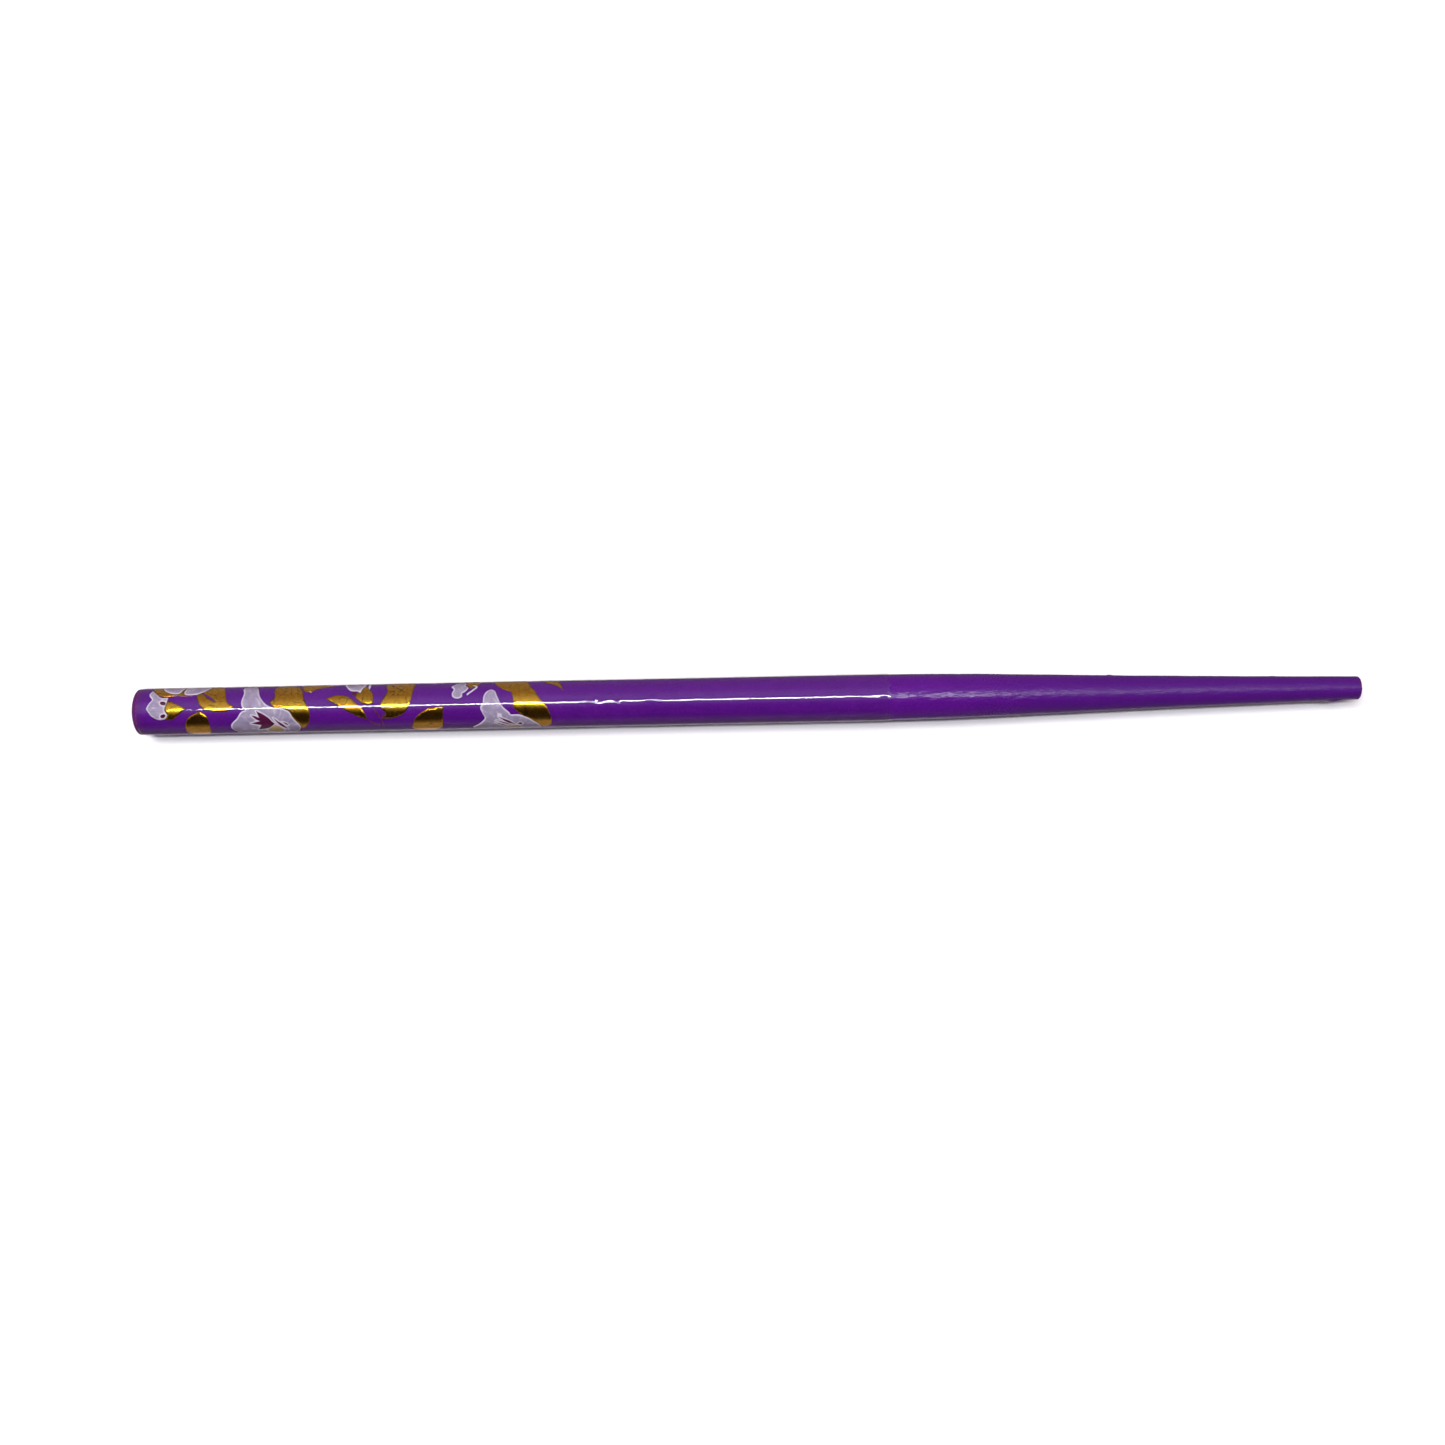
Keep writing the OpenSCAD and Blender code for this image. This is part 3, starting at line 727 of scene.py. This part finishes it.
def film_relief(s, a):
    """Height of the wrinkles, the bubble and the worn end above the smooth film, in mm."""
    s_mm, round_mm = s / MM, a * FILM_R / MM
    lift = 0.0
    crease = noise.noise(Vector((s_mm * 1.5, round_mm * 0.9, 3.0)))
    fold = noise.noise(Vector((s_mm * 0.9 - round_mm * 0.6, round_mm * 1.7, 9.0)))
    zone = hump(s_mm, 69.0, 5.0) * hump(round_mm, -0.3, 2.6)
    lift += zone * (0.06 * crease + 0.035 * fold)
    lift += 0.075 * hump(s_mm, 76.3, 1.2) * hump(round_mm, -0.2, 0.75)
    lift += 0.045 * hump(s_mm, 77.6, 0.6) * hump(round_mm, 0.1, 0.5)
    drag = noise.noise(Vector((s_mm * 0.5, round_mm * 2.2, 5.0)))
    lift += 0.02 * smoothstep(98.0, FILM_TO / MM, s_mm) * drag
    for at_s, at_mm, size in SPECKS:
        lift += 0.02 * hump(s_mm, at_s, size) * hump(round_mm, at_mm, size * 0.8)
    return lift


def make_film(material):
    """The film as a closed sleeve: even inside, with its flaws on the outside."""
    stations = np.concatenate([
        np.linspace(0.0, 0.5, 4),
        np.linspace(1.0, 62.0, 100),
        np.linspace(62.3, 79.0, 110),
        np.linspace(79.5, 100.0, 50),
        np.linspace(100.4, (FILM_TO - FILM_FROM) / MM, 60),
    ])
    span = (FILM_TO - FILM_FROM) / MM
    verts, faces, rim_tone_and_film_wear = [], [], []
    for outside in (True, False):
        for station in stations:
            for j in range(FILM_AROUND):
                a = 2 * math.pi * j / FILM_AROUND
                turn = (a + math.pi) % (2 * math.pi) - math.pi
                frayed = noise.noise(Vector((7.0, math.cos(a) * 6, math.sin(a) * 6)))
                share = station / span
                end_wear = smoothstep(-WORN_FROM_MM, -WORN_TO_MM, station - span)
                rim_tone_and_film_wear.append(float(WORN_LEAST + (WORN_MOST - WORN_LEAST) * end_wear))
                s = FILM_FROM + (station + frayed * 0.8 * smoothstep(0.9, 1.0, share)) * MM
                feather = smoothstep(-0.02, 0.5, station) * smoothstep(-0.05, 1.6, span - station)
                past_print = PRINT_T * smoothstep(PRINT_END_MM, PRINT_END_MM + 2, s / MM)
                under = max(PRINT_R + 0.002 * MM - past_print, 0)
                under -= drop_at(s) * MM
                if outside:
                    thick = (FILM_R - PRINT_R) * (0.05 + 0.95 * feather)
                    lift = film_relief(s, turn) * MM * feather
                    top = under + thick + max(lift, -0.6 * thick) + past_print
                    verts.append(place(s, a, top))
                else:
                    verts.append(place(s, a, under))
    rings, half = len(stations), len(stations) * FILM_AROUND
    faces += tube_faces(rings, FILM_AROUND)
    faces += [tuple(half + i for i in reversed(f)) for f in tube_faces(rings, FILM_AROUND)]
    for j in range(FILM_AROUND):
        k = (j + 1) % FILM_AROUND
        last = (rings - 1) * FILM_AROUND
        faces.append((k, j, half + j, half + k))
        faces.append((last + j, last + k, half + last + k, half + last + j))
    marks = {"rim_tone_and_film_wear": rim_tone_and_film_wear}
    return new_piece("film_sleeve", verts, faces, material, ["clear_film"], marks)


def drop_at(s):
    """How far the lacquer has tapered below the shaft at s, in mm."""
    return float(LACQUER_R - smooth_radius(np.array([s]), *PROFILE)[0]) / MM


# --- Light, floor and camera -----------------------------------------------------


FLOOR_SIDE = 8.0
FLOOR_SHADE = (0.95, 0.935, 0.985)
FLOOR_LIGHT = (0.965, 0.95, 1.0)
# What the floor gives back to the stick, and a brighter strip beside it on the -Y side: painted light
# that shows as a pale reflection along the stick's lower edge
BOUNCE_FAR = (0.22, 0.18, 0.175)
BOUNCE_NEAR = (0.62, 0.54, 0.64)
# Beyond this distance from the middle the camera sees a plain white backdrop
WHITE_FROM_MM = 200
WHITE_TO_MM = 500


def stage_floor():
    """A pale floor for the camera that gives back less light than it shows."""
    mesh = bpy.data.meshes.new("floor")
    mesh.from_pydata(
        [(x * FLOOR_SIDE, y * FLOOR_SIDE, 0) for x, y in ((-1, -1), (1, -1), (1, 1), (-1, 1))],
        [],
        [(0, 1, 2, 3)],
    )
    floor = bpy.data.objects.new("floor", mesh)
    bpy.context.scene.collection.objects.link(floor)
    m = Shader("pale_floor")
    cloud = m.noise(0.02, detail=3.0)
    seen = m.blend(m.remap(cloud, 0.3, 0.7), FLOOR_SHADE, FLOOR_LIGHT)
    across = m.node("ShaderNodeSeparateXYZ", {"Vector": m.coordinates()}).outputs["Y"]
    # Painted reflection: a brighter strip about 1 to 7.5 mm off the middle on the -Y side, seen only
    # by rays that do not come from the camera
    painted_reflection_strip = m.maths("MULTIPLY", m.remap(across, -7.5, -5.5), m.remap(across, -2, -1, 1.0, 0.0))
    bounce = m.blend(painted_reflection_strip, BOUNCE_FAR, BOUNCE_NEAR)
    camera = m.node("ShaderNodeLightPath").outputs["Is Camera Ray"]
    colour = m.blend(camera, bounce, seen)
    lit = m.node("ShaderNodeBsdfDiffuse", {"Color": colour})
    white = m.node("ShaderNodeEmission", {"Color": (1.0, 1.0, 1.0, 1.0)})
    spread = m.node("ShaderNodeVectorMath", {0: m.coordinates()}, operation="LENGTH").outputs["Value"]
    far = m.maths("MULTIPLY", m.remap(spread, WHITE_FROM_MM, WHITE_TO_MM, smooth=True), camera)
    backdrop = m.node("ShaderNodeMixShader", {0: far})
    m.tree.links.new(lit.outputs[0], backdrop.inputs[1])
    m.tree.links.new(white.outputs[0], backdrop.inputs[2])
    m.surface(backdrop)
    mesh.materials.append(m.material)


# The room's brightness by the angle from straight up, negative towards +Y
ROOM = [
    (-92, (0.26, 0.20, 0.19)),
    (-75, (0.26, 0.20, 0.19)),
    (-52, (0.30, 0.235, 0.21)),
    (-42, (0.37, 0.315, 0.29)),
    (-33, (0.47, 0.43, 0.41)),
    (-22, (0.53, 0.51, 0.49)),
    (-11, (0.46, 0.45, 0.44)),
    (2, (0.42, 0.41, 0.40)),
    (8, (0.33, 0.32, 0.315)),
    (13, (0.20, 0.185, 0.185)),
    (17, (0.11, 0.10, 0.10)),
    (22, (0.055, 0.045, 0.05)),
    (28, (0.028, 0.022, 0.025)),
    (36, (0.018, 0.013, 0.016)),
    (72, (0.025, 0.018, 0.024)),
    (84, (0.12, 0.10, 0.12)),
    (92, (0.13, 0.11, 0.13)),
]


def studio_world():
    """A soft room: bright overhead towards +Y, dim low down, with a dark card towards -Y."""
    world = bpy.data.worlds.new("studio")
    world.use_nodes = True
    tree = world.node_tree
    tree.nodes.clear()
    link = tree.links.new
    where = tree.nodes.new("ShaderNodeTexCoord")
    axes = tree.nodes.new("ShaderNodeSeparateXYZ")
    link(where.outputs["Generated"], axes.inputs[0])
    angle = tree.nodes.new("ShaderNodeMath")
    angle.operation = "ARCTAN2"
    flip = tree.nodes.new("ShaderNodeMath")
    flip.operation = "MULTIPLY"
    flip.inputs[1].default_value = -1.0
    link(axes.outputs["Y"], flip.inputs[0])
    link(flip.outputs[0], angle.inputs[0])
    link(axes.outputs["Z"], angle.inputs[1])
    span = tree.nodes.new("ShaderNodeMapRange")
    span.inputs["From Min"].default_value = math.radians(ROOM[0][0])
    span.inputs["From Max"].default_value = math.radians(ROOM[-1][0])
    link(angle.outputs[0], span.inputs["Value"])
    ramp = tree.nodes.new("ShaderNodeValToRGB")
    link(span.outputs["Result"], ramp.inputs["Fac"])
    wide = ROOM[-1][0] - ROOM[0][0]
    stops = ramp.color_ramp.elements
    while len(stops) < len(ROOM):
        stops.new(0.5)
    for stop, (degrees, colour) in zip(stops, ROOM):
        stop.position = (degrees - ROOM[0][0]) / wide
        stop.color = (*colour, 1.0)
    ends = tree.nodes.new("ShaderNodeMapRange")
    ends.interpolation_type = "SMOOTHSTEP"
    ends.inputs["From Min"].default_value = 0.75
    ends.inputs["From Max"].default_value = 1.0
    size = tree.nodes.new("ShaderNodeMath")
    size.operation = "ABSOLUTE"
    link(axes.outputs["X"], size.inputs[0])
    link(size.outputs[0], ends.inputs["Value"])
    room = tree.nodes.new("ShaderNodeMix")
    room.data_type = "RGBA"
    room.inputs[7].default_value = (0.5, 0.48, 0.48, 1.0)
    link(ends.outputs["Result"], room.inputs[0])
    link(ramp.outputs["Color"], room.inputs[6])
    backdrop = tree.nodes.new("ShaderNodeMix")
    backdrop.data_type = "RGBA"
    backdrop.inputs[7].default_value = (1.0, 1.0, 1.0, 1.0)
    path = tree.nodes.new("ShaderNodeLightPath")
    link(path.outputs["Is Camera Ray"], backdrop.inputs[0])
    link(room.outputs[2], backdrop.inputs[6])
    light = tree.nodes.new("ShaderNodeBackground")
    link(backdrop.outputs[2], light.inputs["Color"])
    out = tree.nodes.new("ShaderNodeOutputWorld")
    link(light.outputs[0], out.inputs["Surface"])
    bpy.context.scene.world = world


def area_light(name, x, lean, length, width, radiance, mirrored=True):
    """A long light along X that leans off the vertical towards +Y and faces the stick."""
    data = bpy.data.lights.new(name, "AREA")
    data.shape = "RECTANGLE"
    data.size, data.size_y = length, width
    data.energy = radiance * math.pi * length * width
    lamp = bpy.data.objects.new(name, data)
    lamp.location = (x, LIGHT_DISTANCE * math.sin(lean), LIGHT_DISTANCE * math.cos(lean))
    lamp.rotation_euler = (-lean, 0.0, 0.0)
    lamp.visible_camera = False
    lamp.visible_glossy = mirrored
    bpy.context.scene.collection.objects.link(lamp)


LIGHT_DISTANCE = 1.5
TUBE_LENGTH = 1.18
TUBE_WIDTH = 0.11
TUBE_RADIANCE = 28.5
TUBE_LEAN = math.radians(2.6)
SOFTBOX_LENGTH = 0.8
SOFTBOX_WIDTH = 0.31
SOFTBOX_RADIANCE = 17.0
SOFTBOX_LEAN = math.radians(13.6)
SIDE_LENGTH = 2.0
SIDE_WIDTH = 0.8
SIDE_RADIANCE = 0.3
SIDE_LEAN = math.radians(-74)

CAMERA_FIELD = math.radians(50.0)
CAMERA_FROM = Vector((0.0, -15.4, 232.0)) * MM
CAMERA_TO = Vector((-3.45, -3.25, 3.5)) * MM
CAMERA_ROLL = math.radians(1.13)


def make_camera():
    """Looks down on the middle of the stick from a little towards -Y."""
    data = bpy.data.cameras.new("camera")
    data.angle = CAMERA_FIELD
    data.clip_start = 0.01
    ahead = (CAMERA_TO - CAMERA_FROM).normalized()
    right = Vector((math.cos(CAMERA_ROLL), -math.sin(CAMERA_ROLL), 0.0))
    right = (right - ahead * right.dot(ahead)).normalized()
    turn = Matrix((right, right.cross(ahead), -ahead)).transposed()
    camera = bpy.data.objects.new("camera", data)
    camera.matrix_world = Matrix.Translation(CAMERA_FROM) @ turn.to_4x4()
    bpy.context.scene.collection.objects.link(camera)
    bpy.context.scene.camera = camera


# --- Putting it together -----------------------------------------------------------

make_camera()
stage_floor()
studio_world()
area_light("ceiling_tube", -0.02, TUBE_LEAN, TUBE_LENGTH, TUBE_WIDTH, TUBE_RADIANCE)
area_light("softbox", -0.42, SOFTBOX_LEAN, SOFTBOX_LENGTH, SOFTBOX_WIDTH, SOFTBOX_RADIANCE, False)
area_light("side_light", 0.0, SIDE_LEAN, SIDE_LENGTH, SIDE_WIDTH, SIDE_RADIANCE, False)
bpy.context.scene.view_settings.view_transform = "Standard"

PROFILE = cad_profile()
WOOD = wood_material()
LACQUER = lacquer_material("purple_lacquer", 0.15, 0.33, 0.34)
COVERED = lacquer_material("covered_lacquer", 0.5, 0.5, 0.06)
GOLD = foil_material()
PETALS = petal_material()
MAROON = ink_material("dark_ink", (0.05, 0.004, 0.03), (0.1, 0.008, 0.05), (0.16, 0.03, 0.1))
TAN = ink_material("tan_ink", (0.3, 0.2, 0.09), (0.48, 0.36, 0.19), (0.2, 0.08, 0.07))
FILM = film_material()

core = NODES["wood_core"]
core.data.materials.clear()
core.data.materials.append(WOOD)

make_lacquer(LACQUER, COVERED)
for node in sorted(NODES):
    if node.startswith("gold_leaf") or node.endswith("_calyx"):
        print_piece(f"{node}_foil", node, GOLD, 0.004 * MM)
    elif node.endswith("_petals"):
        flower = node[: -len("_petals")]
        middle = f"{flower}_heart" if f"{flower}_heart" in NODES else f"{flower}_calyx"
        print_piece(f"{node}_ink", node, PETALS, 0.02 * MM, heart_of(middle))
    elif node.endswith("_heart"):
        print_piece(f"{node}_ink", node, TAN, 0.015 * MM)
    elif node.endswith(("_veins", "_spots", "_spot")) or node.startswith("stem"):
        print_piece(f"{node}_ink", node, MAROON, 0.015 * MM)
make_film(FILM)
